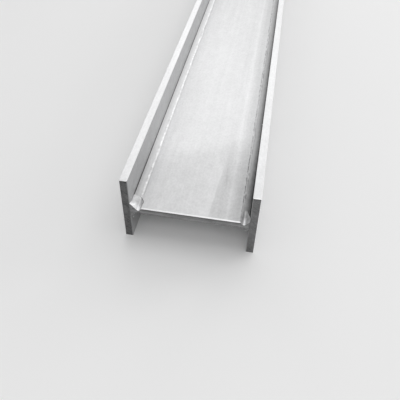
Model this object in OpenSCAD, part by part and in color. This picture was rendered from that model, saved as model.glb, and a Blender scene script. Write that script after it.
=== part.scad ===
// Welded steel H-beam: a web plate between two flange plates, joined by four continuous welds.
// It lies with its web level and its flanges upright. X runs across the flanges, Y along the
// beam and Z up. The origin is the middle of the footprint, on the level it rests on.

/* [Section] */
// Overall depth of the section, across the outer faces of the flanges
section_depth = 200; // [120:1:400]
// Width of each flange plate
flange_width = 115; // [80:1:240]
// Thickness of each flange plate
flange_thickness = 12; // [8:0.5:20]
// Thickness of the web plate
web_thickness = 12; // [8:0.5:20]

/* [Length] */
// Length of the beam
beam_length = 3000; // [500:10:12000]

/* [Edges] */
// Radius on the long edges of the flange plates
edge_radius = 0.8; // [0.3:0.1:2]
// Deburring chamfer round the sawn ends
end_chamfer = 0.9; // [0.3:0.1:2]

/* [Weld preparation] */
// Square nose left on each long edge of the web plate, between its two bevels
root_face = 2; // [1:0.5:4]
// Angle of each bevel, measured from the square edge of the plate
bevel_angle = 50; // [30:1:60]

/* [Welds] */
// How far each weld laps past its bevel onto the face of the web
weld_lap = 7; // [2:0.5:12]
// Height of each weld on the flange, above the face of the web
weld_rise = 3.5; // [3:0.5:12]
// How far each weld face is hollow, below the straight line between its toes
weld_hollow = 0.5; // [0.2:0.1:0.8]

/* [Dressed weld ends] */
// Radius at the root of the notch ground into a dressed weld end
notch_radius = 3; // [2:0.5:4]
// Slope of both flanks of the notch, measured from the face of the web
notch_flank = 50; // [40:1:60]
// Distance of the root of a left weld's notch from the flange
left_notch_offset = 12; // [9:0.5:16]
// Distance of the root of the upper right weld's notch from the flange
right_notch_offset = 8; // [7:0.5:16]
// Length along the beam over which a notch runs out
notch_run = 22; // [10:1:40]
// Thickness of plate left between an upper and a lower notch at the end
neck_thickness = 2; // [1:0.5:4]

/* [Hidden] */

LEFT = -1;
RIGHT = 1;
UPPER = 1;
LOWER = -1;
ENDS = [-1, 1];
SIDES = [LEFT, RIGHT];
FACES = [UPPER, LOWER];

$fn = 180;
// Overshoot of a cutter past the surface it leaves
cut_over = 1;
// How far inside its round a notch's flank starts: one that only touches the round spoils the cut
flank_overlap = 0.01;

half_length = beam_length / 2;
half_width = flange_width / 2;
web_half = web_thickness / 2;
// Distance from the middle plane to the inner face of a flange
inner_face = section_depth / 2 - flange_thickness;

bevel_depth = (web_thickness - root_face) / 2;
bevel_run = bevel_depth * tan(bevel_angle);
// Leg of a weld along the web, from the flange to its toe
weld_leg = bevel_run + weld_lap;
// Web face left clear between the weld toes
clear_web = 2 * (inner_face - weld_leg);

// The weld face is an arc through both toes
toe_span = norm([weld_leg, weld_rise]);
face_radius = pow(toe_span, 2) / (8 * weld_hollow) + weld_hollow / 2;
// Unit normal of the line between the toes, away from the corner
face_normal = [weld_rise, weld_leg] / toe_span;
face_middle = [weld_leg / 2, web_half + weld_rise / 2];
face_centre = face_middle + (face_radius - weld_hollow) * face_normal;

notch_depth = (web_thickness - neck_thickness) / 2;
notch_tilt = atan2(notch_depth, notch_run);

plate_colour = [0.80, 0.80, 0.81];
flange_colour = [0.72, 0.72, 0.73];
weld_colour = [0.88, 0.88, 0.88];

// Puts the children on a side (LEFT or RIGHT) and a face (UPPER or LOWER) of the web
module on_corner(side, face) {
    mirror([side == LEFT ? 1 : 0, 0, 0])
        mirror([0, 0, face == LOWER ? 1 : 0])
            children();
}

// Extrudes an outline drawn in X and Z along the whole beam
module along_beam() {
    rotate([90, 0, 0])
        linear_extrude(height = beam_length, center = true)
            children();
}

// Rectangle with rounded corners, centred on the origin
module rounded_rectangle(size, radius) {
    inner = [size.x - 2 * radius, size.y - 2 * radius];
    square([size.x, inner.y], center = true);
    square([inner.x, size.y], center = true);
    for (x = SIDES, y = SIDES)
        translate([x * inner.x / 2, y * inner.y / 2])
            circle(r = radius);
}

// Square bar on edge: centred on an edge that runs along X, it takes off the end chamfer
module chamfer_cutter(edge_length) {
    side = end_chamfer * sqrt(2);
    rotate([45, 0, 0])
        cube([edge_length, side, side], center = true);
}

// Outline of the web plate, bevelled on both faces along both long edges
module web_outline() {
    shoulder = inner_face - bevel_run;
    nose = root_face / 2;
    polygon([
        [-inner_face, -nose], [-shoulder, -web_half], [shoulder, -web_half], [inner_face, -nose],
        [inner_face, nose], [shoulder, web_half], [-shoulder, web_half], [-inner_face, nose]
    ]);
}

// Outline of the upper right weld: it fills the bevel and rises on the flange
module weld_outline() {
    difference() {
        polygon([
            [inner_face, root_face / 2],
            [inner_face - bevel_run, web_half],
            [inner_face - weld_leg - cut_over, web_half],
            [inner_face, web_half + weld_rise + cut_over]
        ]);
        translate([inner_face - face_centre.x, face_centre.y])
            circle(r = face_radius);
    }
}

// Outline of a notch that stands on its root: two flanks that run out of a round
module notch_outline() {
    height = web_thickness + weld_rise;
    tangent = notch_radius * [sin(notch_flank), 1 - cos(notch_flank)];
    foot = tangent.x - flank_overlap;
    brim = foot + (height - tangent.y) / tan(notch_flank);
    translate([0, notch_radius])
        circle(r = notch_radius);
    polygon([[-foot, tangent.y], [foot, tangent.y], [brim, height], [-brim, height]]);
}

// Slot that dips to the neck at one end of the upper right weld
module notch_cutter(end, offset) {
    // Run over which the root climbs clear of the weld
    reach = (notch_depth + weld_rise) / sin(notch_tilt);
    translate([inner_face - offset, end * half_length, neck_thickness / 2])
        rotate([90 - end * notch_tilt, 0, 0])
            linear_extrude(height = 2 * reach, center = true)
                notch_outline();
}

// Both end notches of one weld
module notches(side, face) {
    offset = side == LEFT ? left_notch_offset : right_notch_offset;
    on_corner(side, face)
        for (end = ENDS)
            notch_cutter(end, offset);
}

// Centre plate of the beam
module web_plate() {
    color(plate_colour)
        translate([0, 0, half_width])
            difference() {
                along_beam()
                    web_outline();
                for (end = ENDS, face = FACES)
                    translate([0, end * half_length, face * web_half])
                        chamfer_cutter(clear_web);
                notches(LEFT, UPPER);
                notches(RIGHT, UPPER);
                notches(LEFT, LOWER);
            }
}

// Side plate of the beam, upright against the edge of the web
module flange(side) {
    color(flange_colour)
        translate([side * (inner_face + flange_thickness / 2), 0, half_width])
            difference() {
                along_beam()
                    rounded_rectangle([flange_thickness, flange_width], edge_radius);
                for (end = ENDS) {
                    for (face = FACES)
                        translate([0, end * half_length, face * half_width])
                            chamfer_cutter(flange_thickness + 2 * cut_over);
                    for (x = SIDES)
                        translate([x * flange_thickness / 2, end * half_length, 0])
                            rotate([0, 90, 0])
                                chamfer_cutter(flange_width + 2 * cut_over);
                }
            }
}

// One continuous weld between the web and a flange
module weld(side, face, dressed) {
    color(weld_colour)
        translate([0, 0, half_width])
            difference() {
                on_corner(side, face)
                    along_beam()
                        weld_outline();
                if (dressed)
                    notches(side, face);
            }
}

web_plate();
flange(LEFT);  // left_flange
flange(RIGHT);  // right_flange
weld(LEFT, UPPER, dressed = true);  // upper_left_weld
weld(RIGHT, UPPER, dressed = true);  // upper_right_weld
weld(LEFT, LOWER, dressed = true);  // lower_left_weld
weld(RIGHT, LOWER, dressed = false);  // lower_right_weld
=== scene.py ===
"""Looks of a welded steel H-beam: plate and weld finishes, weld beads, spatter, floor and light."""

import logging
import math
from collections import Counter
from dataclasses import dataclass, replace
from enum import IntEnum
from typing import Any

import bmesh
import bpy
import numpy as np
from mathutils import Matrix, Vector


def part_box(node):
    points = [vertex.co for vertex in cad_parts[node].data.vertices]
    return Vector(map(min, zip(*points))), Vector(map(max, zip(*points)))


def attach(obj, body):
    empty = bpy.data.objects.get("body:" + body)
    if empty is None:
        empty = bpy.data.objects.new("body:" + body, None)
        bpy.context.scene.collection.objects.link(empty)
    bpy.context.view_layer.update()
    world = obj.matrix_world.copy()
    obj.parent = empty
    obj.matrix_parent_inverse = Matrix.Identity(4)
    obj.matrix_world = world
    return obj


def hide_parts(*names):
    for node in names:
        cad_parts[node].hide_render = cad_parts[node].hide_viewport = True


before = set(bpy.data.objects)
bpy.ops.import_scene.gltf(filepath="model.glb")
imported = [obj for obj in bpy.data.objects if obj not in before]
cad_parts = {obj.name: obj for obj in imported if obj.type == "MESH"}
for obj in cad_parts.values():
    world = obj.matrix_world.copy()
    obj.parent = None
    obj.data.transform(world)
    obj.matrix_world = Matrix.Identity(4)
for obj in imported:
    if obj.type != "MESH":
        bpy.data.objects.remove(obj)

LOG = logging.getLogger("h_beam")
MM = 0.001
BODY = "root"
Array = np.ndarray


class Side(IntEnum):
    """Side of the beam, as the sign of X."""

    LEFT = -1
    RIGHT = 1


class Face(IntEnum):
    """Face of the web, as the sign of Z from its middle plane."""

    LOWER = -1
    UPPER = 1


@dataclass(frozen=True)
class Section:
    """Places of the beam's faces, in metres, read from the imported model."""

    inner_face: float
    web_middle: float
    web_half: float
    height: float
    half_length: float
    weld_leg: float
    weld_rise: float

    @classmethod
    def read(cls) -> "Section":
        """Works the section out from the boxes of the nodes.

        Returns:
            The section.
        """
        web_low, web_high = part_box("web_plate")
        flange_low, flange_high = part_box("right_flange")
        weld_low, weld_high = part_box("upper_right_weld")
        return cls(
            inner_face=flange_low[0],
            web_middle=(web_low[2] + web_high[2]) / 2,
            web_half=(web_high[2] - web_low[2]) / 2,
            height=flange_high[2],
            half_length=flange_high[1],
            weld_leg=weld_high[0] - weld_low[0],
            weld_rise=weld_high[2] - web_high[2],
        )


# ---------------------------------------------------------------- shader arithmetic


class Wire:
    """One value socket of a shader, for use in Python arithmetic."""

    def __init__(self, graph: "Graph", socket: bpy.types.NodeSocket) -> None:
        """Keeps the socket with the graph that owns it."""
        self.graph = graph
        self.socket = socket

    def math(self, operation: str, *operands: Any) -> "Wire":
        """Adds one Math node that works on wires or numbers, in the node's order."""
        return self.graph.node("ShaderNodeMath", {"operation": operation}, dict(enumerate(operands)))

    def __add__(self, other: Any) -> "Wire":
        """Sum."""
        return self.math("ADD", self, other)

    def __radd__(self, other: Any) -> "Wire":
        """Sum with the wire on the right."""
        return self.math("ADD", other, self)

    def __sub__(self, other: Any) -> "Wire":
        """Difference."""
        return self.math("SUBTRACT", self, other)

    def __rsub__(self, other: Any) -> "Wire":
        """Difference with the wire on the right."""
        return self.math("SUBTRACT", other, self)

    def __mul__(self, other: Any) -> "Wire":
        """Product."""
        return self.math("MULTIPLY", self, other)

    def __rmul__(self, other: Any) -> "Wire":
        """Product with the wire on the right."""
        return self.math("MULTIPLY", other, self)

    def __abs__(self) -> "Wire":
        """Absolute value."""
        return self.math("ABSOLUTE", self)

    def smaller(self, other: Any) -> "Wire":
        """The smaller of this value and another."""
        return self.math("MINIMUM", self, other)

    def larger(self, other: Any) -> "Wire":
        """The larger of this value and another."""
        return self.math("MAXIMUM", self, other)

    def root(self) -> "Wire":
        """Square root."""
        return self.math("SQRT", self)

    def wave(self) -> "Wire":
        """Sine of this value, in radians."""
        return self.math("SINE", self)

    def step(self, low: float, high: float) -> "Wire":
        """Smooth step of this value.

        Args:
            low: the value where the step starts, at 0.
            high: the value where it ends, at 1. It may be the lower one, for a falling step.

        Returns:
            A wire from 0 to 1.
        """
        ends = {"From Min": low, "From Max": high}
        if low > high:
            ends = {"From Min": high, "From Max": low, "To Min": 1.0, "To Max": 0.0}
        settings = {"interpolation_type": "SMOOTHSTEP"}
        return self.graph.node("ShaderNodeMapRange", settings, {"Value": self, **ends})

    def bell(self, centre: Any, width: float) -> "Wire":
        """Round bump: 1 where this value is at the centre, and 0 from the width on, to both sides."""
        return abs(self - centre).step(width, 0.0)

    def mix(self, other: Any, mask: Any) -> "Wire":
        """Blend towards another value, which is reached where the mask is 1."""
        return self.graph.blend(self, other, mask)


class Graph:
    """Builds the nodes of one material or world tree."""

    def __init__(self, tree: bpy.types.NodeTree) -> None:
        """Empties the tree and keeps it."""
        tree.nodes.clear()
        self.tree = tree

    def node(
        self,
        kind: str,
        settings: dict[str, Any] | None = None,
        inputs: dict[str | int, Any] | None = None,
        output: str | int = 0,
    ) -> Wire:
        """Adds one node of any kind.

        Args:
            kind: the node's type.
            settings: its properties, which are set first.
            inputs: wires or constants for its sockets, by name or place.
            output: the socket to return.

        Returns:
            That socket as a wire.
        """
        made = self.tree.nodes.new(kind)
        for name, value in (settings or {}).items():
            setattr(made, name, value)
        for key, value in (inputs or {}).items():
            if isinstance(value, Wire):
                self.tree.links.new(value.socket, made.inputs[key])
            else:
                made.inputs[key].default_value = value
        return Wire(self, made.outputs[output] if made.outputs else None)

    def blend(self, first: Any, second: Any, mask: Any) -> Wire:
        """Mixes two wires or numbers: the first where the mask is 0, the second where it is 1."""
        return self.node("ShaderNodeMix", {"data_type": "FLOAT"}, {0: mask, 2: first, 3: second})

    def tint(self, hue: tuple[float, float, float], tone: Wire) -> Wire:
        """The colour of a hue at a tone, from black at 0."""
        colours = {0: tone, 6: (0.0, 0.0, 0.0, 1.0), 7: (*hue, 1.0)}
        return self.node("ShaderNodeMix", {"data_type": "RGBA"}, colours, 2)

    def axes(self, vector: Wire) -> tuple[Wire, Wire, Wire]:
        """Splits a vector into its X, Y and Z wires."""
        split = self.node("ShaderNodeSeparateXYZ", None, {0: vector}).socket.node
        return tuple(Wire(self, split.outputs[i]) for i in range(3))


class MaterialGraph(Graph):
    """A material's tree on a piece whose object coordinates are the beam's own, in metres."""

    def __init__(self, tree: bpy.types.NodeTree, section: Section) -> None:
        """Adds the place and the normal that every finish reads."""
        super().__init__(tree)
        self.section = section
        self.place = self.node("ShaderNodeTexCoord", output="Object")
        self.x, self.y, self.z = self.axes(self.place)
        normal = self.node("ShaderNodeNewGeometry", output="True Normal")
        self.normal_x, self.normal_y, self.normal_z = self.axes(normal)

    def out(self) -> Wire:
        """Distance from the nearer flange, in metres."""
        return self.section.inner_face - abs(self.x)

    def from_end(self) -> Wire:
        """Distance from the nearer end."""
        return self.section.half_length - abs(self.y)

    def from_near_end(self) -> Wire:
        """Distance from the near end."""
        return self.y + self.section.half_length

    def from_middle(self) -> Wire:
        """Distance up or down from the web's middle plane."""
        return abs(self.z - self.section.web_middle)

    def end_faces(self) -> Wire:
        """1 on a face that is square to the beam's length."""
        return abs(self.normal_y).step(0.93, 0.97)

    def end_chamfers(self) -> Wire:
        """1 on the small bevel round a sawn end."""
        return abs(self.normal_y).bell(0.7, 0.25)

    def stretched(self, size: tuple[float, float, float], seed: float, turn: float = 0.0) -> Wire:
        """Coordinates for a pattern of a real size.

        Args:
            size: the pattern's feature size along X, Y and Z, in metres.
            seed: moves the pattern, so that two of a size differ.
            turn: angle about the beam's length, in radians, for marks that run askew.

        Returns:
            A vector wire that grows by 1 over each feature.
        """
        place = self.place
        if turn:
            turned = {"rotation_type": "AXIS_ANGLE"}
            sockets = {"Vector": place, "Axis": (0.0, 1.0, 0.0), "Angle": turn}
            place = self.node("ShaderNodeVectorRotate", turned, sockets)
        sockets = {
            0: place,
            1: tuple(1.0 / part for part in size),
            2: (seed, -seed * 1.7, seed * 2.3),
        }
        return self.node("ShaderNodeVectorMath", {"operation": "MULTIPLY_ADD"}, sockets)

    def noise(
        self, size: tuple[float, float, float], seed: float, detail: float = 2.0, turn: float = 0.0
    ) -> Wire:
        """Soft noise of about -1 to 1, with features of a size in metres along X, Y and Z."""
        sockets = {"Vector": self.stretched(size, seed, turn), "Scale": 1.0, "Detail": detail}
        return (self.node("ShaderNodeTexNoise", None, sockets) - 0.5) * 3.0

    def specks(self, spacing: float, radius: float, seed: float) -> Wire:
        """Round dots, 1 in the middle, of a spacing in metres and a radius that is a share of it."""
        sockets = {"Vector": self.stretched((spacing,) * 3, seed), "Scale": 1.0, "Randomness": 1.0}
        return self.node("ShaderNodeTexVoronoi", None, sockets, "Distance").step(radius, 0.0)

    def scratches(self, length: float, width: float, turn: float, share: float, seed: float) -> Wire:
        """Straight scratches, 1 on each, of a length and width in metres over a share of the face."""
        marks = self.noise((width, length, width), seed, 1.0, turn)
        return marks.step(0.75 - share, 0.95 - share)


@dataclass
class Surface:
    """What a finish gives at each point: tone, roughness, relief in millimetres and how metallic it is."""

    tone: Wire
    roughness: Wire
    relief: Wire
    metallic: Wire | float = 0.85

    def under(self, other: "Surface", mask: Wire) -> "Surface":
        """Lays another finish over this one.

        Args:
            other: the finish on top.
            mask: where it shows, from 0 to 1.

        Returns:
            The combined surface.
        """
        metallic = self.metallic
        if metallic != other.metallic:
            metallic = mask.graph.blend(metallic, other.metallic, mask)
        return Surface(
            self.tone.mix(other.tone, mask),
            self.roughness.mix(other.roughness, mask),
            self.relief.mix(other.relief, mask),
            metallic,
        )

    def lighter(self, amount: Wire) -> "Surface":
        """The same finish with its tone raised by an amount, or lowered where that is below 0."""
        return replace(self, tone=self.tone + amount)


# ---------------------------------------------------------------- finishes


@dataclass(frozen=True)
class Steel:
    """Bare stainless steel: the colour of its reflection and how a surface becomes a material."""

    hue: tuple[float, float, float] = (0.99, 0.993, 1.0)

    def material(self, name: str, graph: MaterialGraph, surface: Surface) -> None:
        """Wires a surface into a shader.

        Args:
            name: label of the shader node.
            graph: the material's tree.
            surface: the finish.
        """
        heights = {"Height": surface.relief, "Distance": MM, "Strength": 1.0}
        bump = graph.node("ShaderNodeBump", None, heights)
        sockets = {
            "Base Color": graph.tint(self.hue, surface.tone),
            "Metallic": surface.metallic,
            "Roughness": surface.roughness,
            "Normal": bump,
        }
        shader = graph.node("ShaderNodeBsdfPrincipled", {"label": name}, sockets)
        graph.node("ShaderNodeOutputMaterial", None, {"Surface": shader})


@dataclass(frozen=True)
class BlastedPlate:
    """Hot-rolled stainless plate, blasted and pickled: pale, satin and softly mottled."""

    tone: float = 0.69
    roughness: float = 0.46
    seed: float = 3.0

    def surface(self, graph: MaterialGraph) -> Surface:
        """Tone, roughness and relief of the plate.

        Args:
            graph: the material's tree.

        Returns:
            The finish.
        """
        seed = self.seed
        clouds = graph.noise((0.055, 0.16, 0.055), seed, 3.0)
        patches = graph.noise((0.014, 0.024, 0.014), seed + 5, 3.0)
        streaks = graph.noise((0.006, 0.35, 0.006), seed + 9, 2.0)
        grain = graph.noise((0.0011, 0.0016, 0.0011), seed + 13, 2.0)
        speckle = graph.noise((0.0032, 0.0048, 0.0032), seed + 15, 2.0)
        pits = graph.specks(0.009, 0.10, seed + 17)
        scratch = graph.scratches(0.05, 0.0007, 0.35, 0.06, seed + 21)
        tone = self.tone + clouds * 0.045 + patches * 0.05 + streaks * 0.03 + grain * 0.03 + speckle * 0.05
        tone = tone - pits * 0.16 + scratch * 0.05
        roughness = self.roughness + patches * 0.04 + clouds * 0.03 - scratch * 0.08
        relief = grain * 0.012 + patches * 0.03 - pits * 0.05 - scratch * 0.01
        return Surface(tone, roughness, relief)


@dataclass(frozen=True)
class SawnFace:
    """Cross-cut end of the plate, with fine slanting saw marks. Its low tone is mostly painted shade."""

    tone: float = 0.20
    roughness: float = 0.42
    slant: float = 0.9
    stroke: float = 0.012
    depth: float = 1.0
    seed: float = 31.0

    def surface(self, graph: MaterialGraph) -> Surface:
        """Tone, roughness and relief of the cut.

        Args:
            graph: the material's tree.

        Returns:
            The finish.
        """
        fine = graph.noise((0.0007, 0.05, self.stroke), self.seed, 2.0, self.slant)
        wide = graph.noise((0.0022, 0.05, self.stroke * 2.5), self.seed + 3, 2.0, self.slant)
        cloud = graph.noise((0.012,) * 3, self.seed + 7, 3.0)
        speckle = graph.noise((0.0022,) * 3, self.seed + 11, 2.0)
        tone = self.tone + (fine * 0.035 + wide * 0.035) * self.depth + cloud * 0.05 + speckle * 0.045
        return Surface(tone, self.roughness + wide * 0.05, fine * 0.012 + wide * 0.02)


@dataclass(frozen=True)
class BareEdge:
    """Edge worn or ground to bright metal."""

    tone: float = 0.98
    roughness: float = 0.34
    metallic: float = 0.45
    seed: float = 47.0

    def surface(self, graph: MaterialGraph) -> Surface:
        """Tone, roughness and relief of the edge, with small nicks."""
        nicks = graph.noise((0.0025,) * 3, self.seed, 3.0)
        return Surface(self.tone + nicks * 0.03, self.roughness + nicks * 0.05, nicks * 0.03, self.metallic)


@dataclass(frozen=True)
class Notch:
    """Notch ground into a dressed weld end: two flanks and a round root that runs out along the beam."""

    offset: float
    radius: float = 0.003
    flank: float = math.radians(50.0)
    run: float = 0.022
    neck: float = 0.002

    @property
    def tangent(self) -> float:
        """Half the width of the round root, out to where it meets the flanks."""
        return self.radius * math.sin(self.flank)

    def slope(self, web_half: float) -> float:
        """Rise of the root for each metre from the end."""
        return (web_half - self.neck / 2) / self.run

    def height(self, out: Array, from_end: Array, web_half: float) -> Array:
        """Height of the ground surface above the web's middle plane.

        Args:
            out: distances from the flange.
            from_end: distances from the beam's nearer end.
            web_half: half the web's thickness.

        Returns:
            The height.
        """
        slope = self.slope(web_half)
        across = np.abs(out - self.offset)
        root = self.radius - np.sqrt(self.radius**2 - np.minimum(across, self.tangent) ** 2)
        rise = root + np.maximum(across - self.tangent, 0.0) * math.tan(self.flank)
        return self.neck / 2 + slope * from_end + rise * math.hypot(1.0, slope)

    def ground(self, graph: MaterialGraph) -> Wire:
        """The same height at each point of a material.

        Args:
            graph: the material's tree.

        Returns:
            The height in metres, above the web's middle plane.
        """
        slope = self.slope(graph.section.web_half)
        across = abs(graph.out() - self.offset)
        inner = across.smaller(self.tangent)
        root = self.radius - (self.radius**2 - inner * inner).root()
        rise = root + (across - self.tangent).larger(0.0) * math.tan(self.flank)
        return graph.from_end() * slope + rise * math.hypot(1.0, slope) + self.neck / 2


@dataclass(frozen=True)
class GroundNotch:
    """Dressed weld end: bright along the root of its notch, where ground metal carries a painted highlight,
    darker round it, with a dark outline and a paler band inside it.

    Lengths are in metres. Ground metal lies within its fit of the notch's surface. The outline of
    the spot stands furthest from the flange at its belly, and falls back towards the end and away
    from it by its two curves.
    """

    notch: Notch
    offset: float
    spread: float
    length: float
    tone: float = 1.0
    dull: float = 0.62
    roughness: float = 0.34
    metallic: float = 0.5
    reach: float = 0.026
    fit: float = 0.00045
    bulge: float = 0.0
    belly: float = 0.013
    end_curve: float = 12.0
    far_curve: float = 55.0

    def rim(self, graph: MaterialGraph) -> Wire:
        """Distance past the outline of the ground spot.

        Args:
            graph: the material's tree.

        Returns:
            The distance in metres, below 0 inside the outline.
        """
        along = graph.from_end() - self.belly
        before = along.smaller(0.0)
        past = along.larger(0.0)
        wobble = graph.noise((0.006,) * 3, 57.0, 2.0) * 0.0008
        fall = before * before * self.end_curve + past * past * self.far_curve
        return graph.out() - (self.bulge + wobble - fall)

    def mask(self, graph: MaterialGraph) -> Wire:
        """Where a weld end is ground: on the notch's surface, and inside the outline.

        Args:
            graph: the material's tree.

        Returns:
            A wire from 0 to 1.
        """
        near = graph.from_end().step(self.reach, self.reach - 0.004)
        spot = abs(self.notch.ground(graph) - graph.from_middle()).step(self.fit, self.fit * 0.27)
        if self.bulge:
            inside = self.rim(graph).step(0.0014, 0.0010) * graph.normal_z.step(0.1, 0.3)
            spot = spot.larger(inside)
        return near * spot * abs(graph.normal_y).step(0.8, 0.65)

    def surface(self, graph: MaterialGraph) -> Surface:
        """Tone, roughness and relief of the ground metal.

        Args:
            graph: the material's tree.

        Returns:
            The finish.
        """
        marks = graph.noise((0.0012, 0.012, 0.0012), 53.0, 2.0, 0.5)
        blotch = graph.noise((0.004, 0.006, 0.004), 55.0, 3.0)
        near = graph.from_end().step(self.length, self.length * 0.35)
        # Ground metal with a painted highlight: the spot along the root near the end is raised to the bright
        # tone.
        bright = graph.out().bell(self.offset, self.spread) * near
        tone = bright * (self.tone - self.dull) + self.dull + marks * 0.02 + blotch * 0.16 * (1.0 - bright)
        if self.bulge:
            rim = self.rim(graph)
            tone = tone + rim.bell(-0.0022, 0.0022) * graph.from_end().bell(0.006, 0.011) * 0.25
            tone = tone - rim.bell(0.0005, 0.0010) * 0.50
        return Surface(tone, self.roughness + marks * 0.04, marks * 0.02, self.metallic)


def new_material(name: str, section: Section) -> tuple[bpy.types.Material, MaterialGraph]:
    """Makes an empty material.

    Args:
        name: its name.
        section: the beam's section.

    Returns:
        The material and the graph that fills its tree.
    """
    material = bpy.data.materials.new(name)
    material.use_nodes = True
    return material, MaterialGraph(material.node_tree, section)


def dress(piece: bpy.types.Object, material: bpy.types.Material) -> None:
    """Gives a piece one material.

    Args:
        piece: the object.
        material: what all its faces get.
    """
    if not piece.material_slots:
        piece.data.materials.append(material)
    for slot in piece.material_slots:
        slot.material = material


def put_in_scene(name: str, data: bpy.types.ID) -> bpy.types.Object:
    """Makes an object of a mesh, light or camera and links it into the scene.

    Args:
        name: the object's name.
        data: what it shows.

    Returns:
        The object.
    """
    made = bpy.data.objects.new(name, data)
    bpy.context.scene.collection.objects.link(made)
    return made


def weld_metal_piece(mesh: bpy.types.Mesh) -> bpy.types.Object:
    """Makes a smooth-shaded piece of weld metal that stays with the beam.

    Args:
        mesh: its mesh, whose name the piece takes.

    Returns:
        The piece.
    """
    mesh.polygons.foreach_set("use_smooth", np.ones(len(mesh.polygons), bool))
    mesh.update()
    piece = put_in_scene(mesh.name, mesh)
    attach(piece, BODY)
    return piece


# ---------------------------------------------------------------- the beam


@dataclass(frozen=True)
class WebPlate:
    """The level centre plate, with the marks that welding and handling left on it."""

    section: Section
    left_end: GroundNotch
    right_end: GroundNotch
    node: str = "web_plate"
    toe_width: float = 0.0014
    bare_rim: float = 0.0028
    patch_start: float = 0.0262
    patch_slope: float = 0.080

    def dress(self) -> None:
        """Gives the plate its finish."""
        material, graph = new_material("blasted_web_plate", self.section)
        plate = self.marked(graph, BlastedPlate(tone=0.745).surface(graph))
        # Painted highlight: a bright rim of bare-edge finish along the plate's ends.
        rim = graph.from_end().step(self.bare_rim, self.bare_rim / 2)
        bare = BareEdge().surface(graph)
        surface = plate.under(bare, rim)
        surface = surface.under(self.sawn(graph), graph.end_faces())
        surface = surface.under(bare, graph.end_chamfers())
        right = self.right_half(graph)
        for spot, part in ((self.left_end, 1.0 - right), (self.right_end, right)):
            surface = surface.under(spot.surface(graph), spot.mask(graph) * part)
        Steel().material("web", graph, surface)
        dress(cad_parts[self.node], material)

    def marked(self, graph: MaterialGraph, plate: Surface) -> Surface:
        """Adds the painted shade along the weld toes, the bands along the welds, the painted shade patch by
        the near end, the painted light by the left weld and the darker streak and zones.

        Args:
            graph: the material's tree.
            plate: the plain finish.

        Returns:
            The finish with its marks.
        """
        # Painted shade of the undercut grooves at the weld toes, with a small bump.
        line = self.toe_lines(graph)
        x = graph.x + graph.noise((0.2, 0.3, 0.2), 71.0, 2.0) * 0.004
        dark = x.bell(0.067, 0.013) * 0.075 + x.bell(0.038, 0.012) * 0.018
        pale = x.bell(0.053, 0.004) * 0.03
        # Painted light: a lighter band beside the left weld.
        by_left_weld = x.bell(-0.070, 0.022) * 0.035
        upper = graph.normal_z.step(0.5, 0.9)
        # The slanting patch by the near end in this sum is painted shade.
        marks = (dark - pale + self.stain(graph) + self.handling(graph)) * upper
        tone = plate.tone - line * 0.28 - marks + by_left_weld
        return Surface(tone, plate.roughness + line * 0.2, plate.relief - line * 0.25)

    def sawn(self, graph: MaterialGraph) -> Surface:
        """Finish of the sawn ends, with a dark line under the top edge and a paler one below it. Its low
        tone is mostly painted shade.

        Args:
            graph: the material's tree.

        Returns:
            The finish.
        """
        drop = self.section.web_middle + self.section.web_half - graph.z
        lines = drop.bell(0.0076, 0.0016) * 0.07 - drop.bell(0.0022, 0.0014) * 0.13
        return SawnFace(tone=0.235, slant=1.56, stroke=0.05, depth=2.6).surface(graph).lighter(lines)

    def right_half(self, graph: MaterialGraph) -> Wire:
        """1 on the right half of the plate and 0 on the left."""
        return graph.x.step(-0.01, 0.01)

    def toe_lines(self, graph: MaterialGraph) -> Wire:
        """Broken lines of painted shade along the toes of the welds, for their undercut grooves, stronger on
        the right.

        Args:
            graph: the material's tree.

        Returns:
            A wire that is 1 on a line.
        """
        wander = graph.noise((0.05, 0.011, 0.05), 61.0, 4.0)
        toe = graph.out() - self.section.weld_leg - wander * 0.0011
        broken = graph.noise((0.05, 0.006, 0.05), 67.0, 3.0).step(-0.6, 0.5)
        return toe.bell(0.0004, self.toe_width) * broken * (self.right_half(graph) * 0.7 + 0.3)

    def stain(self, graph: MaterialGraph) -> Wire:
        """Painted shade: a darker patch near the sawn end, with a straight slanting left edge, for the shade
        of the right flange on the web.

        Args:
            graph: the material's tree.

        Returns:
            How much it darkens the tone.
        """
        near = graph.from_near_end()
        ragged = graph.noise((0.01, 0.02, 0.01), 73.0, 3.0) * 0.0012
        inward = graph.x - near * self.patch_slope + ragged
        patch = inward.step(self.patch_start - 0.0005, self.patch_start + 0.002)
        return patch * near.step(0.17, 0.07) * 0.085

    def handling(self, graph: MaterialGraph) -> Wire:
        """A dark slanted streak, a darker zone by the near end and a darker far half.

        Args:
            graph: the material's tree.

        Returns:
            How much they darken the tone.
        """
        near = graph.from_near_end()
        streak = (graph.x + near * 0.07).bell(0.0500, 0.0022) * near.bell(0.095, 0.05) * 0.06
        cloudy = graph.noise((0.03, 0.04, 0.03), 79.0, 3.0) * 0.022
        handled = (near - graph.x * 0.5 + cloudy).step(0.180, 0.120) * 0.085
        return streak + handled + near.step(0.25, 1.1) * 0.095


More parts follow.
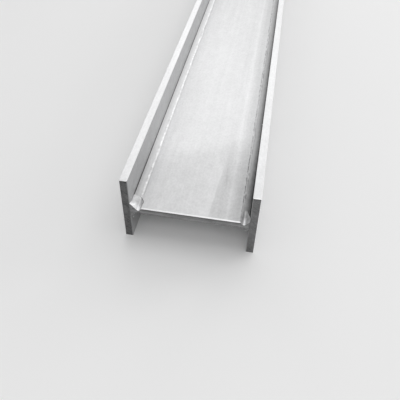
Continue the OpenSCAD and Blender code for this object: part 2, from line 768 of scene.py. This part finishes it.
@dataclass(frozen=True)
class Flange:
    """An upright side plate."""

    section: Section
    side: Side

    @property
    def node(self) -> str:
        """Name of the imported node."""
        return f"{self.side.name.lower()}_flange"

    def dress(self) -> None:
        """Gives the plate its finish: satin faces, pale long edges, and sawn ends and inward chamfers
        darkened with painted shade.
        """
        material, graph = new_material(f"blasted_{self.node}", self.section)
        rolled = BlastedPlate(tone=0.765 - 0.02 * self.side, roughness=0.42, seed=100.0 + 7 * self.side)
        surface = self.inner_and_outer(graph)
        surface = surface.under(rolled.surface(graph), abs(graph.normal_z).step(0.93, 0.97))
        surface = surface.under(self.sawn(graph), graph.end_faces())
        corners = abs(graph.normal_x * graph.normal_z).step(0.1, 0.3)
        # Painted shade: the chamfers that face inward are darkened.
        inward = (graph.normal_x * -float(self.side)).step(0.3, 0.6) * graph.end_chamfers()
        bare = BareEdge(tone=0.9).surface(graph).lighter(inward * -0.6)
        surface = surface.under(bare, corners + graph.end_chamfers())
        Steel().material(self.node, graph, surface)
        dress(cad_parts[self.node], material)

    def inner_and_outer(self, graph: MaterialGraph) -> Surface:
        """Finish of the broad faces, with painted shade in the crease above each weld and darker near the
        near end.

        Args:
            graph: the material's tree.

        Returns:
            The finish.
        """
        face = BlastedPlate(tone=0.66, roughness=0.48, seed=80.0 + 7 * self.side).surface(graph)
        height = graph.from_middle() - self.section.web_half - self.section.weld_rise
        broken = graph.noise((0.05, 0.02, 0.05), 91.0, 2.0).step(-0.9, 0.4)
        # Painted shade in the crease where the weld meets the flange.
        seam = height.bell(0.0008, 0.0012) * broken
        near = graph.from_near_end().step(0.22, 0.04)
        return face.lighter(seam * -0.30 - near * 0.10)

    def sawn(self, graph: MaterialGraph) -> Surface:
        """Finish of the sawn ends, darker along the top edge. Their low tone is mostly painted shade, darker
        on the left end than on the right.

        Args:
            graph: the material's tree.

        Returns:
            The finish.
        """
        # Painted shade: a low tone, lower on the left end.
        cut = SawnFace(tone=0.150 + 0.030 * self.side, seed=31.0 + 5 * self.side).surface(graph)
        lip = (self.section.height - graph.z).bell(0.0019, 0.0013)
        return cut.lighter(lip * -0.08)


class Wander:
    """A smooth random curve along the beam, the same on every run."""

    def __init__(self, seed: int, spacing: float, length: float) -> None:
        """Draws the curve's random points, a spacing apart over the beam's length."""
        self.spacing = spacing
        self.points = np.random.default_rng(seed).uniform(-1.0, 1.0, int(length / spacing) + 4)

    def at(self, along: Array) -> Array:
        """Height of the curve.

        Args:
            along: distances from the near end, in metres.

        Returns:
            Values from -1 to 1.
        """
        place = np.clip(along / self.spacing, 0.0, len(self.points) - 2.001)
        index = place.astype(int)
        share = place - index
        share = share * share * (3.0 - 2.0 * share)
        return self.points[index] * (1.0 - share) + self.points[index + 1] * share


@dataclass(frozen=True)
class EndLump:
    """Extra weld metal at the ends of a run, banked up against the flange."""

    height: float = 0.0
    reach: float = 0.0075
    fade: float = 1.5

    def at(self, share: Array, from_end: Array) -> Array:
        """Height added at a share of the way from flange to toe, and at a distance from the end."""
        return self.height * np.exp(-((from_end / self.reach) ** 2)) * (1.0 - share) ** self.fade


@dataclass(frozen=True)
class WeldBead:
    """One continuous weld: a closed shell that fills the bevel and laps onto web and flange."""

    section: Section
    side: Side
    face: Face
    spot: GroundNotch | None = None
    lump: EndLump = EndLump()
    root_face: float = 0.002
    bevel_angle: float = math.radians(50.0)
    lift: float = 1.1
    sweep: float = 1.5
    tone: float = 0.66
    shine: float = 0.26
    toe_wave: float = 0.0009
    crest: float = 0.0007
    undercut: float = 0.0004
    sunk: float = 0.00005
    ring_spacing: float = 0.002
    end_spacing: float = 0.00075
    end_zone: float = 0.045
    sharp: float = math.radians(40.0)
    wander_spacings: tuple[float, ...] = (0.023, 0.006, 0.009, 0.0045, 0.05)
    flange_columns: tuple[float, ...] = (0.0, 0.05, 0.12, 0.25, 0.42, 0.62, 0.82)
    notch_columns: tuple[float, ...] = (0.0, 0.25, 0.5, 0.75)
    toe_columns: tuple[float, ...] = (0.0, 0.2, 0.4, 0.6, 0.8, 0.92, 1.0)

    @property
    def notch(self) -> Notch | None:
        """The notch at both ends, where they are dressed."""
        return self.spot.notch if self.spot else None

    @property
    def node(self) -> str:
        """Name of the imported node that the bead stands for."""
        return f"{self.face.name.lower()}_{self.side.name.lower()}_weld"

    @property
    def seed(self) -> int:
        """Start of this bead's random draws."""
        return 400 + 20 * self.side + 7 * self.face

    def rings(self) -> Array:
        """Places of the rings along the beam.

        Returns:
            Distances from the near end, closer together at both ends.
        """
        length = 2 * self.section.half_length
        ends = np.arange(0.0, self.end_zone, self.end_spacing)
        middle = np.arange(self.end_zone, length - self.end_zone, self.ring_spacing)
        return np.concatenate([ends, middle, length - ends[::-1]])

    def underside(self, out: Array) -> Array:
        """Height of the web's surface under the bead: the bevel, then the face."""
        nose = self.root_face / 2
        return np.minimum(nose + out / math.tan(self.bevel_angle), self.section.web_half)

    def banks(self, along: Array, toe: Array) -> tuple[Array, Array]:
        """Both edges of the stretch that the notch takes away, or two steady places where there's none.

        Args:
            along: distances of the rings from the near end.
            toe: distances of the toe from the flange.

        Returns:
            Distances of the two edges from the flange.
        """
        section = self.section
        bevel_run = (section.web_half - self.root_face / 2) * math.tan(self.bevel_angle)
        if self.notch is None:
            return np.full_like(toe, bevel_run), (bevel_run + toe) / 2
        least = 0.0004
        from_end = np.minimum(along, 2 * section.half_length - along)
        inner = np.full_like(toe, self.notch.offset - least)
        outer = np.full_like(toe, self.notch.offset + least)
        flange_side = np.linspace(0.0, self.notch.offset, 240)
        web_side = np.linspace(self.notch.offset, 2.2 * self.notch.offset, 240)
        for ring in np.flatnonzero(from_end < self.notch.run):
            ground = self.notch.height(flange_side, from_end[ring], section.web_half)
            inner[ring] = min(inner[ring], np.interp(0.0, self.underside(flange_side) - ground, flange_side))
            ground = self.notch.height(web_side, from_end[ring], section.web_half)
            outer[ring] = max(outer[ring], np.interp(0.0, ground - self.underside(web_side), web_side))
        return inner, np.minimum(outer, toe - least)

    def surfaces(self, along: Array) -> tuple[Array, Array, Array, Array]:
        """Shape of the bead before it is put in its corner.

        Args:
            along: distances of the rings from the near end.

        Returns:
            Distances out from the flange, heights of the top, heights of the underside and whether
            the notch took the metal away there, each with one row a ring.
        """
        section = self.section
        length = 2 * section.half_length
        slow, quick, lumps, spill, swell = (
            Wander(self.seed + i, spacing, length).at(along)
            for i, spacing in enumerate(self.wander_spacings)
        )
        toe = section.weld_leg + self.toe_wave * (0.7 * slow + 0.5 * quick)
        inner, outer = self.banks(along, toe)
        parts = (
            inner[:, None] * np.array(self.flange_columns),
            inner[:, None] + (outer - inner)[:, None] * np.array(self.notch_columns),
            outer[:, None] + (toe - outer)[:, None] * np.array(self.toe_columns),
        )
        out = np.concatenate(parts, axis=1)
        share = out / toe[:, None]
        from_end = np.minimum(along, length - along)[:, None]
        rise = section.weld_rise * (self.lift + 0.08 * swell[:, None])
        cap = rise * (1.0 - share) ** self.sweep
        ridge = np.exp(-(((share - 0.86) / 0.075) ** 2))
        cap = cap + self.crest * ridge * (0.75 + 0.35 * lumps + 0.3 * spill)[:, None]
        cap = cap - self.undercut * np.exp(-((out / 0.0005) ** 2)) * (0.8 + 0.3 * quick)[:, None]
        cap = cap + self.lump.at(share, from_end)
        cap = cap * np.clip((1.0 - share) / 0.03, 0.0, 1.0)
        top = section.web_half + cap - self.sunk * (share >= 1.0)
        bottom = self.underside(out) - self.sunk * (share > 0.5)
        gone = np.zeros(out.shape, bool)
        if self.notch is not None:
            ground = self.notch.height(out, from_end, section.web_half)
            column = np.arange(out.shape[1])[None, :]
            first = len(self.flange_columns)
            past_outer = (column > first + len(self.notch_columns)) & (ground >= bottom)
            gone = (ground <= bottom + 1e-7) & (column >= first) & ~past_outer
            gone = gone & (from_end < self.notch.run)
            bare = np.minimum(ground, bottom) - self.sunk * (column > first)
            top = np.where(gone, bare, np.minimum(top, ground))
            bottom = np.where(gone, top, np.minimum(bottom, top))
        return out, top, bottom, gone

    def build(self) -> bpy.types.Object:
        """Builds the bead's mesh and puts it in the frame.

        Returns:
            The piece.
        """
        along = self.rings()
        out, top, bottom, gone = self.surfaces(along)
        count, wide = out.shape
        ring = 2 * wide
        verts = np.empty((count, ring, 3))
        reach = np.concatenate([out, out[:, ::-1]], axis=1)
        reach[:, 0] -= self.sunk
        reach[:, -1] -= self.sunk
        verts[:, :, 0] = self.side * (self.section.inner_face - reach)
        verts[:, :, 1] = (along - self.section.half_length)[:, None]
        heights = np.concatenate([top, bottom[:, ::-1]], axis=1)
        verts[:, :, 2] = self.section.web_middle + self.face * heights
        mesh = self.joined(verts.reshape(-1, 3), self.faces(gone))
        piece = weld_metal_piece(mesh)
        mesh.set_sharp_from_angle(angle=self.sharp)
        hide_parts(self.node)
        return piece

    def faces(self, gone: Array) -> Array:
        """Faces of the closed shell, without those that the notch took away.

        Args:
            gone: whether the metal is gone, for each ring and column.

        Returns:
            Rows of four point numbers.
        """
        count, wide = gone.shape
        ring = 2 * wide
        base = (np.arange(count - 1) * ring)[:, None]
        here = np.arange(ring)[None, :]
        after = (here + 1) % ring
        corners = (base + here, base + after, base + ring + after, base + ring + here)
        sides = np.stack(corners, axis=-1).reshape(-1, 4)
        column = np.arange(wide - 1)
        near = np.stack([column, ring - 1 - column, ring - 2 - column, column + 1], axis=-1)
        far = near[:, ::-1] + (count - 1) * ring
        faces = np.concatenate([sides, near, far])
        empty = np.concatenate([gone, gone[:, ::-1]], axis=1).reshape(-1)
        faces = faces[~empty[faces].all(axis=1)]
        return faces[:, ::-1] if self.side * self.face > 0 else faces

    def joined(self, verts: Array, faces: Array) -> bpy.types.Mesh:
        """Makes the mesh, joins points that lie on each other and drops faces that this leaves stray.

        Args:
            verts: the mesh's points.
            faces: its faces, as rows of four points.

        Returns:
            The mesh.
        """
        mesh = bpy.data.meshes.new(self.node + "_bead")
        mesh.from_pydata(verts.tolist(), [], faces.tolist())
        shape = bmesh.new()
        shape.from_mesh(mesh)
        bmesh.ops.remove_doubles(shape, verts=shape.verts, dist=1e-6)
        alike = Counter(frozenset(face.verts) for face in shape.faces)
        stray = [
            face
            for face in shape.faces
            if alike[frozenset(face.verts)] > 1 or any(edge.is_boundary for edge in face.edges)
        ]
        bmesh.ops.delete(shape, geom=stray, context="FACES_ONLY")
        loose = [vert for vert in shape.verts if not vert.link_faces]
        bmesh.ops.delete(shape, geom=loose, context="VERTS")
        shape.to_mesh(mesh)
        shape.free()
        return mesh

    def dress(self, piece: bpy.types.Object) -> None:
        """Gives the bead its finish.

        Args:
            piece: the bead.
        """
        section = self.section
        material, graph = new_material(f"pickled_{self.node}", section)
        out = graph.out()
        wobble = graph.noise((0.004, 0.006, 0.004), 5.0 + self.seed, 2.0)
        ripple = (graph.y * (2 * math.pi / 0.0026) + out.bell(0.006, 0.008) * 3.0 + wobble * 2.2).wave()
        faint = graph.noise((0.02, 0.03, 0.02), 7.0 + self.seed, 1.0).step(-0.8, 0.9)
        patches = graph.noise((0.005, 0.012, 0.005), 9.0 + self.seed, 3.0)
        grain = graph.noise((0.0008, 0.0012, 0.0008), 11.0 + self.seed, 2.0)
        lumpy = graph.noise((0.05, 0.007, 0.05), 15.0 + self.seed, 3.0).step(-0.6, 0.8)
        # Painted highlight on the ragged crest near the toe.
        crest = out.bell(0.0112, 0.0026) * lumpy
        # Painted shade in the crease against the flange.
        root = out.bell(0.0003, 0.0010)
        edge = graph.noise((0.05, 0.006, 0.05), 19.0 + self.seed, 3.0).step(-0.4, 0.6)
        # Painted shade of the undercut at the toe on the web.
        toe = out.bell(section.weld_leg, 0.0011) * edge
        # Painted shade: darker towards the flange, lighter towards the toe.
        across = (out * (1.0 / section.weld_leg) - 0.6) * 0.30
        by_ends = graph.from_end().step(0.20, 0.03) * 0.15
        tone = self.tone + across - by_ends + patches * 0.05 + grain * 0.03
        tone = tone + ripple * faint * 0.006 + crest * self.shine - root * 0.4 - toe * 0.15
        roughness = 0.42 + patches * 0.05 + root * 0.2
        relief = ripple * faint * 0.02 + patches * 0.05 + grain * 0.012
        surface = Surface(tone, roughness, relief)
        if self.spot is not None:
            surface = surface.under(self.spot.surface(graph), self.spot.mask(graph))
        # The bead's sawn end gets a low tone that is mostly painted shade.
        surface = surface.under(SawnFace(tone=0.24).surface(graph), graph.end_faces())
        Steel().material(self.node, graph, surface)
        dress(piece, material)


@dataclass(frozen=True)
class Spatter:
    """Small drops of weld metal stuck to the plates beside the welds."""

    section: Section
    per_weld: int = 46
    least: float = 0.00035
    most: float = 0.0011
    ball: float = 0.0014
    share_on_web: float = 0.6
    scatter: float = 0.010
    clear: float = 0.0015
    seed: int = 77

    def build(self) -> bpy.types.Object:
        """Builds all the drops as one mesh.

        Returns:
            The piece.
        """
        section = self.section
        random = np.random.default_rng(self.seed)
        verts: list[tuple[float, float, float]] = []
        faces: list[tuple[int, ...]] = []
        for side in Side:
            for face in Face:
                for _ in range(self.per_weld):
                    self.add_drop(verts, faces, *self.drawn(random, side, face))
        ball = Vector((
            -section.inner_face,
            -section.half_length + 0.0108,
            section.web_middle - 0.0250,
        ))
        self.add_drop(verts, faces, ball, Vector((1, 0, 0)), self.ball)
        mesh = bpy.data.meshes.new("weld_spatter")
        mesh.from_pydata(verts, [], faces)
        return weld_metal_piece(mesh)

    def drawn(self, random: np.random.Generator, side: Side, face: Face) -> tuple[Vector, Vector, float]:
        """Draws one drop beside a weld, on the web or on the flange.

        Args:
            random: where the draws come from.
            side: the weld's side.
            face: the weld's face of the web.

        Returns:
            A point on the plate's face, the face's outward normal and the drop's radius.
        """
        section = self.section
        along = random.uniform(-1, 1) * (section.half_length - 0.006)
        far = random.exponential(self.scatter)
        radius = random.uniform(self.least, self.most)
        if random.uniform() < self.share_on_web:
            x = side * (section.inner_face - section.weld_leg - self.clear - min(far, 0.05))
            z = section.web_middle + face * section.web_half
            return Vector((x, along, z)), Vector((0, 0, face)), radius
        rise = section.web_half + section.weld_rise + self.clear + min(far, 0.03)
        centre = Vector((side * section.inner_face, along, section.web_middle + face * rise))
        return centre, Vector((-side, 0, 0)), radius

    @staticmethod
    def add_drop(
        verts: list[tuple[float, float, float]],
        faces: list[tuple[int, ...]],
        centre: Vector,
        up: Vector,
        radius: float,
    ) -> None:
        """Adds one drop, a closed low dome with its foot just under the plate's face.

        Args:
            verts: the mesh's points so far.
            faces: its faces so far.
            centre: a point on the plate's face.
            up: the face's outward normal.
            radius: the drop's radius.
        """
        first = len(verts)
        turn = up.to_track_quat("Z", "Y").to_matrix()
        around, levels = 8, (-0.25, 0.15, 0.5, 0.78)
        for level in levels:
            reach = radius * math.sqrt(max(0.0, 1.0 - level * level))
            for i in range(around):
                angle = 2 * math.pi * i / around
                point = Vector((reach * math.cos(angle), reach * math.sin(angle), radius * level * 0.8))
                verts.append(tuple(centre + turn @ point))
        verts.append(tuple(centre + turn @ Vector((0, 0, radius * 0.8))))
        tip = len(verts) - 1
        for row in range(len(levels) - 1):
            for i in range(around):
                a = first + row * around + i
                b = first + row * around + (i + 1) % around
                faces.append((a, b, b + around, a + around))
        last = first + (len(levels) - 1) * around
        faces.extend((last + i, last + (i + 1) % around, tip) for i in range(around))
        faces.append(tuple(first + i for i in reversed(range(around))))

    def dress(self, piece: bpy.types.Object) -> None:
        """Gives the drops their finish.

        Args:
            piece: the spatter.
        """
        material, graph = new_material("weld_spatter", self.section)
        grain = graph.noise((0.0008,) * 3, 3.0, 2.0)
        surface = Surface(0.85 + grain * 0.06, 0.38 + grain * 0.05, grain * 0.02)
        Steel().material("spatter", graph, surface)
        dress(piece, material)


# ---------------------------------------------------------------- studio


@dataclass(frozen=True)
class SoftBox:
    """One soft light, out of the camera's sight."""

    name: str
    place: tuple[float, float, float]
    aim: tuple[float, float, float]
    width: float
    height: float
    brightness: float

    def build(self) -> None:
        """Hangs the light in the studio."""
        light = bpy.data.lights.new(self.name, "AREA")
        light.shape = "RECTANGLE"
        light.size = self.width
        light.size_y = self.height
        light.energy = self.brightness * math.pi * self.width * self.height
        lamp = put_in_scene(self.name, light)
        lamp.location = self.place
        lamp.rotation_euler = (Vector(self.aim) - Vector(self.place)).to_track_quat("-Z", "Y").to_euler()
        lamp.visible_camera = False


LAMPS = (
    SoftBox("back_wall", (-0.2, 4.6, 3.4), (0.0, -1.2, 0.1), 7.0, 4.4, 0.96),
    SoftBox("overhead", (0.9, -0.6, 3.6), (0.2, -0.8, 0.0), 3.0, 3.0, 1.0),
    SoftBox("front", (0.3, -3.4, 2.6), (0.0, -1.5, 0.06), 1.2, 1.2, 2.2),
    SoftBox("right_side", (3.2, 0.9, 1.45), (0.0, -1.4, 0.06), 1.4, 1.4, 3.0),
)


@dataclass(frozen=True)
class Studio:
    """Pale floor, soft light and the camera."""

    section: Section
    floor_half: float = 40.0
    floor_tone: float = 0.90
    sky: float = 0.55
    camera_aside: float = 0.0842
    camera_back: float = 0.4597
    camera_up: float = 0.505
    camera_turn: float = math.radians(8.494)
    camera_dip: float = math.radians(44.98)
    camera_roll: float = math.radians(1.73)
    lens: float = 42.54

    def build(self) -> None:
        """Makes the floor, the lights and the camera."""
        self.add_floor()
        self.add_sky()
        for lamp in LAMPS:
            lamp.build()
        self.add_camera()

    def add_floor(self) -> None:
        """Makes the floor that the beam lies on."""
        half = self.floor_half
        mesh = bpy.data.meshes.new("floor")
        corners = [(-half, -half, 0), (half, -half, 0), (half, half, 0), (-half, half, 0)]
        mesh.from_pydata(corners, [], [(0, 1, 2, 3)])
        floor = put_in_scene("floor", mesh)
        material, graph = new_material("pale_floor", self.section)
        tone = self.floor_tone + graph.noise((0.4,) * 3, 1.0, 3.0) * 0.006
        sockets = {"Base Color": graph.tint((1.0, 1.0, 1.0), tone), "Roughness": 0.8}
        shader = graph.node("ShaderNodeBsdfPrincipled", None, sockets)
        graph.node("ShaderNodeOutputMaterial", None, {"Surface": shader})
        dress(floor, material)

    def add_sky(self) -> None:
        """Makes the soft light all round."""
        world = bpy.data.worlds.new("soft_sky")
        world.use_nodes = True
        bpy.context.scene.world = world
        bpy.context.scene.view_settings.view_transform = "Standard"
        graph = Graph(world.node_tree)
        sockets = {"Color": (1.0, 1.0, 1.0, 1.0), "Strength": self.sky}
        sky = graph.node("ShaderNodeBackground", None, sockets)
        graph.node("ShaderNodeOutputWorld", None, {"Surface": sky})

    def add_camera(self) -> None:
        """Makes the camera that looks down along the beam from above its near end."""
        section = self.section
        heading = Matrix.Rotation(self.camera_turn, 3, "Z")
        dip = Matrix.Rotation(math.radians(90.0) - self.camera_dip, 3, "X")
        roll = Matrix.Rotation(self.camera_roll, 3, "Z")
        camera = bpy.data.cameras.new("camera")
        camera.lens = self.lens
        camera.sensor_width = 36.0
        camera.clip_end = 200.0
        viewer = put_in_scene("camera", camera)
        place = Vector((
            self.camera_aside,
            -section.half_length - self.camera_back,
            section.web_middle + self.camera_up,
        ))
        viewer.matrix_world = Matrix.Translation(place) @ (heading @ dip @ roll).to_4x4()
        bpy.context.scene.camera = viewer


LEFT_END = GroundNotch(
    notch=Notch(offset=0.012),
    offset=0.0060,
    spread=0.0150,
    length=0.010,
    dull=0.58,
    bulge=0.016,
)
RIGHT_END = GroundNotch(
    notch=Notch(offset=0.008),
    offset=0.0075,
    spread=0.0032,
    length=0.014,
    dull=0.50,
)


def weld_beads(section: Section) -> tuple[WeldBead, ...]:
    """Describes the four welds, each as it was run and dressed.

    Args:
        section: the beam's section.

    Returns:
        The welds, in the order in which they are built.
    """
    return (
        WeldBead(section, Side.LEFT, Face.LOWER, spot=LEFT_END, lump=EndLump(height=0.006)),
        WeldBead(section, Side.RIGHT, Face.LOWER, lift=1.2, sweep=2.0),
        WeldBead(section, Side.LEFT, Face.UPPER, spot=LEFT_END, lump=EndLump(height=0.0045)),
        # The upper right bead is a darker copy with a weaker crest highlight: painted shade from the right
        # flange.
        WeldBead(
            section, Side.RIGHT, Face.UPPER, spot=RIGHT_END, lift=1.4, sweep=2.2, tone=0.40, shine=0.10
        ),
    )


def main() -> None:
    """Builds the beam's looks in order and reports each piece."""
    logging.basicConfig(level=logging.INFO, format="%(name)s: %(message)s")
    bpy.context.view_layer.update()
    section = Section.read()
    LOG.info("section %s", section)
    Studio(section).build()
    WebPlate(section, LEFT_END, RIGHT_END).dress()
    LOG.info("web_plate dressed")
    for side in Side:
        flange = Flange(section, side)
        flange.dress()
        LOG.info("%s dressed", flange.node)
    for bead in weld_beads(section):
        piece = bead.build()
        bead.dress(piece)
        LOG.info("%s has %d faces", piece.name, len(piece.data.polygons))
    spatter = Spatter(section)
    drops = spatter.build()
    spatter.dress(drops)
    LOG.info("%s has %d faces", drops.name, len(drops.data.polygons))


if __name__ == "__main__":
    main()
